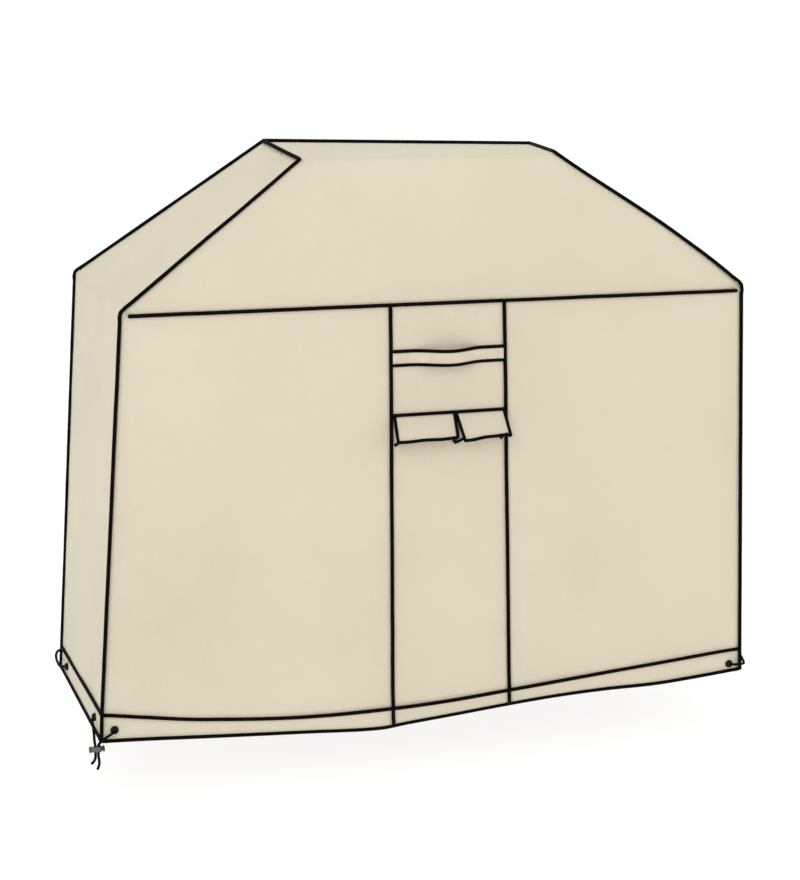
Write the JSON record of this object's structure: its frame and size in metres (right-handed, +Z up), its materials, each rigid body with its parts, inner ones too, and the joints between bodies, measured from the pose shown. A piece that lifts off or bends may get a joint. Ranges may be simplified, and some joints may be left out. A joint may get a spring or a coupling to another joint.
{
  "type": "grill cover",
  "caption": "Fitted canvas cover for a cart grill with a hipped top, dark piped seams, front handle, propped vent flaps and a hem drawcord with a cord lock.",
  "frame": {"origin": "middle of the underside of the flat top, where the cover rests on the grill's lid", "axes": "+X to the right of someone facing the cover, +Y from the front to the back, +Z up"},
  "size_m": [1.5516, 0.6164, 1.2818],
  "materials": {
    "canvas": "matte",
    "facing_cloth": "matte",
    "trim": "matte",
    "webbing": "matte",
    "mesh": "matte",
    "stiffener": "matte",
    "gusset_cloth": "matte",
    "eyelet_metal": "satin",
    "cord": "matte",
    "lock_plastic": "satin",
    "lock_button": "satin",
    "spring_steel": "satin"
  },
  "bodies": {
    "cover": {"roof_panel": "canvas", "left_end_panel": "canvas", "right_end_panel": "canvas", "back_panel": "canvas", "front_left_panel": "canvas", "front_centre_panel": "canvas", "front_right_panel": "canvas", "hem_facing_front": "facing_cloth", "hem_facing_back": "facing_cloth", "hem_facing_left": "facing_cloth", "hem_facing_right": "facing_cloth", "left_arch_piping": "trim", "right_arch_piping": "trim", "top_back_piping": "trim", "front_shoulder_piping": "trim", "centre_left_piping": "trim", "centre_right_piping": "trim", "hem_tape": "trim", "hem_binding": "trim", "vent_window_binding": "trim", "handle_tab_left": "webbing", "handle_tab_right": "webbing", "vent_mesh": "mesh", "vent_gusset_left_outer": "gusset_cloth", "vent_gusset_left_inner": "gusset_cloth", "vent_gusset_right_inner": "gusset_cloth", "vent_gusset_right_outer": "gusset_cloth", "eyelets": "eyelet_metal", "eyelet_washers": "eyelet_metal", "drawcord": "cord", "drawcord_end_side": "cord", "drawcord_end_front": "cord"},
    "handle": {"handle_strap": "webbing"},
    "flap_left": {"vent_flap_left": "canvas", "vent_stiffener_left": "stiffener"},
    "flap_right": {"vent_flap_right": "canvas", "vent_stiffener_right": "stiffener"},
    "cord_lock": {"cord_lock_housing": "lock_plastic", "cord_lock_spring": "spring_steel"},
    "lock_button": {"cord_lock_plunger": "lock_button"}
  },
  "joints": [
    {"name": "handle_swing", "type": "hinge", "parent": "cover", "child": "handle", "pos_m": [0.0087, -0.2724, -0.426], "axis": [-1, 0, 0], "range_deg": [-20, 35]},
    {"name": "vent_left_close", "type": "hinge", "parent": "cover", "child": "flap_left", "pos_m": [-0.05, -0.2634, -0.552], "axis": [1, 0, 0], "range_deg": [0, 35], "deforming": ["vent_gusset_left_outer", "vent_gusset_left_inner"]},
    {"name": "vent_right_close", "type": "hinge", "parent": "cover", "child": "flap_right", "pos_m": [0.085, -0.2634, -0.552], "axis": [1, 0, 0], "range_deg": [0, 35], "deforming": ["vent_gusset_right_inner", "vent_gusset_right_outer"]},
    {"name": "cord_lock_slide", "type": "slide", "parent": "cover", "child": "cord_lock", "axis": [0, 0, -1], "range_m": [0, 0.01]},
    {"name": "cord_lock_press", "type": "slide", "parent": "cord_lock", "child": "lock_button", "axis": [-1, 0, 0], "range_m": [0, 0.0035], "stiffness_N_per_m": 600, "springref_m": -0.003, "deforming": ["cord_lock_spring"]}
  ]
}
